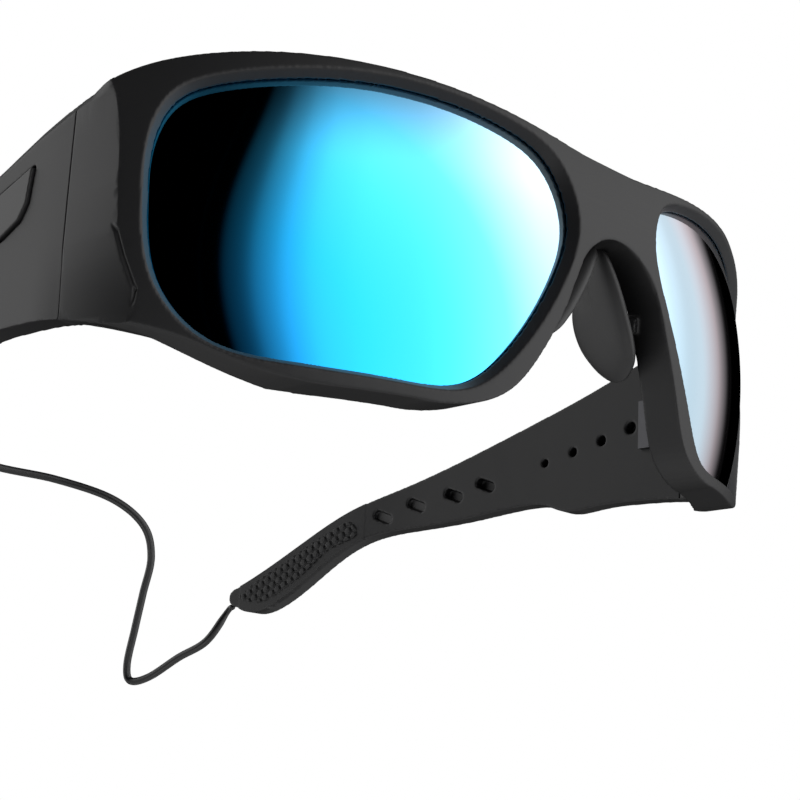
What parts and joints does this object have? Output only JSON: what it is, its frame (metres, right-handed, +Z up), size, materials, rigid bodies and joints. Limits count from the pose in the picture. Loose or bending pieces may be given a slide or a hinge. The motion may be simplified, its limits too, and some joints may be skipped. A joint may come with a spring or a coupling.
{
  "type": "sunglasses",
  "caption": "Wraparound sport sunglasses with mirror lenses, folding temples, soft nose pads, rubber tip grips and a thin neck cord.",
  "frame": {"origin": "foremost point of the bridge, on the plane of symmetry", "axes": "+X to the wearer's left, +Y from the lenses back along the temples, +Z up"},
  "size_m": [0.1338, 0.1868, 0.0652],
  "materials": {
    "frame_plastic": "matte black",
    "temple_plastic": "matte black",
    "lens_mirror": "ice-blue mirror coating on tinted polycarbonate",
    "pad_rubber": "soft matte black",
    "grip_rubber": "soft matte black, hexagon texture",
    "badge_plastic": "satin dark grey, plain",
    "hinge_steel": "blackened steel",
    "screw_steel": "steel",
    "rivet_steel": "steel",
    "plug_rubber": "soft matte black",
    "cord_rubber": "soft black"
  },
  "bodies": {
    "frame": {"frame_front": "frame_plastic", "lens_left": "lens_mirror", "lens_right": "lens_mirror", "nose_pad_left": "pad_rubber", "nose_pad_right": "pad_rubber", "hinge_front_leaf_left": "hinge_steel", "hinge_front_leaf_right": "hinge_steel", "hinge_screw_left": "screw_steel", "hinge_screw_right": "screw_steel", "front_rivet_lower_left": "rivet_steel", "front_rivet_lower_right": "rivet_steel", "front_rivet_upper_left": "rivet_steel", "front_rivet_upper_right": "rivet_steel"},
    "temple_left": {"temple_arm_left": "temple_plastic", "temple_badge_left": "badge_plastic", "tip_grip_left": "grip_rubber", "hinge_temple_leaf_left": "hinge_steel", "temple_rivet_lower_left": "rivet_steel", "temple_rivet_upper_left": "rivet_steel", "cord_plug_left": "plug_rubber"},
    "cord_left": {"neck_cord_left": "cord_rubber"},
    "temple_right": {"temple_arm_right": "temple_plastic", "temple_badge_right": "badge_plastic", "tip_grip_right": "grip_rubber", "hinge_temple_leaf_right": "hinge_steel", "temple_rivet_lower_right": "rivet_steel", "temple_rivet_upper_right": "rivet_steel", "cord_plug_right": "plug_rubber"},
    "cord_right": {"neck_cord_right": "cord_rubber"}
  },
  "joints": [
    {"name": "fold_left", "type": "hinge", "parent": "frame", "child": "temple_left", "pos_m": [0.0612, 0.034, 0], "axis": [0, 0, 1], "range_deg": [0, 90]},
    {"name": "cord_swing_left", "type": "hinge", "parent": "temple_left", "child": "cord_left", "pos_m": [0.05676, 0.15035, -0.02668], "axis": [0, 0, 1], "range_deg": [-163, 0]},
    {"name": "fold_right", "type": "hinge", "parent": "frame", "child": "temple_right", "pos_m": [-0.0612, 0.034, 0], "axis": [0, 0, -1], "range_deg": [0, 80]},
    {"name": "cord_swing_right", "type": "hinge", "parent": "temple_right", "child": "cord_right", "pos_m": [-0.05676, 0.15035, -0.02668], "axis": [0, 0, -1], "range_deg": [-145, 0]}
  ],
  "couplings": [
    {"joint": "cord_swing_left", "follows": "fold_left", "ratio": -1.81},
    {"joint": "cord_swing_right", "follows": "fold_right", "ratio": -1.81}
  ]
}
